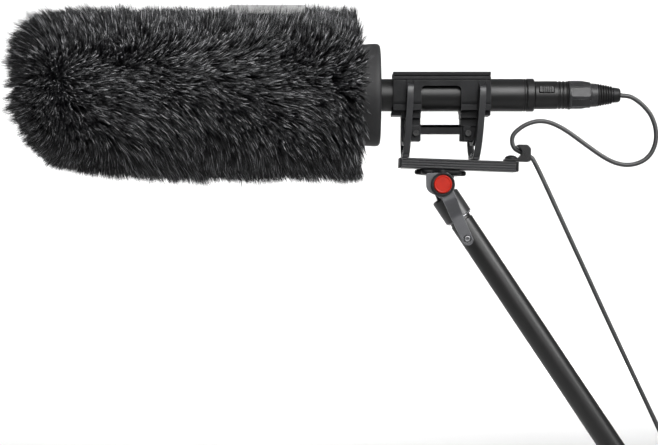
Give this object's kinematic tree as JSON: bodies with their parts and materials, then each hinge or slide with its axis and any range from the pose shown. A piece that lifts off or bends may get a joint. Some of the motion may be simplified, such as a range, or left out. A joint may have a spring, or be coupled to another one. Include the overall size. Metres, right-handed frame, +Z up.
{
  "type": "furry windscreen",
  "caption": "Long-pile slip-on windscreen over a shotgun microphone, carried by a sprung suspension and a lockable swivel on a boom pole section, with its cable.",
  "frame": {"origin": "middle of the boom pole's lower end face", "axes": "+X towards the microphone's rear, +Z up, Y across; the microphone lies level along X"},
  "size_m": [0.5236, 0.114, 0.4463],
  "materials": {
    "fur": "long-pile fur fabric",
    "foam": "open-cell foam",
    "rubber": "matte moulded rubber",
    "label": "woven label",
    "black_metal": "satin black coating",
    "bright_metal": "plated steel",
    "contacts": "plated contacts",
    "board": "glass-fibre board",
    "plastic": "moulded nylon",
    "spring_plastic": "moulded elastomer",
    "bar_metal": "black anodised",
    "swivel_paint": "dark grey texture paint",
    "red": "semi-gloss",
    "pole": "glossy black tube",
    "cable": "satin jacket",
    "strap": "hook-and-loop webbing"
  },
  "bodies": {
    "pole": {"pole_socket": "swivel_paint", "groove_ring": "bright_metal", "pole_tube": "pole", "pole_end_cap": "plastic", "pivot_bolt": "bright_metal", "pivot_nut": "black_metal", "friction_washer_near": "bright_metal", "friction_washer_far": "bright_metal", "far_plug_boot": "rubber", "far_plug_grip": "plastic", "far_plug_shell": "black_metal", "far_plug_insert": "contacts", "cable_tie": "strap", "cable_run": "cable"},
    "lever": {"lock_lever": "swivel_paint", "lever_boss": "plastic", "red_cap": "red", "lever_screw": "bright_metal"},
    "head": {"bar": "bar_metal", "bar_end_front": "plastic", "bar_end_rear": "plastic", "cable_clip": "plastic", "clip_screw": "black_metal", "lyre_front": "spring_plastic", "lyre_rear": "spring_plastic", "lyre_screw_front": "bright_metal", "lyre_screw_rear": "bright_metal", "swivel_head": "swivel_paint", "mount_stud": "bright_metal"},
    "lock_ring": {"lock_ring": "plastic"},
    "microphone": {"cradle_frame": "plastic", "clip_liner_front": "rubber", "clip_liner_rear": "rubber", "top_rail": "plastic", "cradle_screw_front": "black_metal", "cradle_screw_rear": "black_metal", "mic_body": "black_metal", "interference_tube": "black_metal", "front_grille": "black_metal", "capsule": "bright_metal", "circuit_board": "board", "mic_collar": "black_metal", "pin_insert": "contacts", "plug_shell": "black_metal", "plug_insert": "plastic", "plug_grip": "plastic", "plug_boot": "rubber", "cable_loop": "cable"},
    "windscreen": {"fur_jacket": "fur", "foam_body": "foam", "rear_cap": "rubber", "mic_seal": "rubber", "label_tab": "label"},
    "latch": {"latch_button": "black_metal"}
  },
  "joints": [
    {"name": "head_tilt", "type": "hinge", "parent": "pole", "child": "head", "pos_m": [-0.21267, 0, 0.32213], "axis": [0, 1, 0], "range_deg": [-75, 40], "deforming": ["cable_run"]},
    {"name": "lever_turn", "type": "hinge", "parent": "pole", "child": "lever", "pos_m": [-0.21267, 0, 0.32213], "axis": [0, 1, 0], "range_deg": [0, 90]},
    {"name": "ring_spin", "type": "hinge", "parent": "head", "child": "lock_ring", "pos_m": [-0.21276, 0, 0.33055], "axis": [0.0358, 0, 0.9994], "continuous": true},
    {"name": "suspension_slide", "type": "slide", "parent": "head", "child": "microphone", "axis": [1, 0, 0], "range_m": [-0.004, 0.004], "stiffness_N_per_m": 1500, "deforming": ["lyre_front", "lyre_rear", "cable_loop"]},
    {"name": "windscreen_slide", "type": "slide", "parent": "microphone", "child": "windscreen", "axis": [-1, 0, 0], "range_m": [0, 0.16]},
    {"name": "latch_press", "type": "slide", "parent": "microphone", "child": "latch", "axis": [0, 0.9397, -0.342], "range_m": [0, 0.0012], "stiffness_N_per_m": 300}
  ]
}
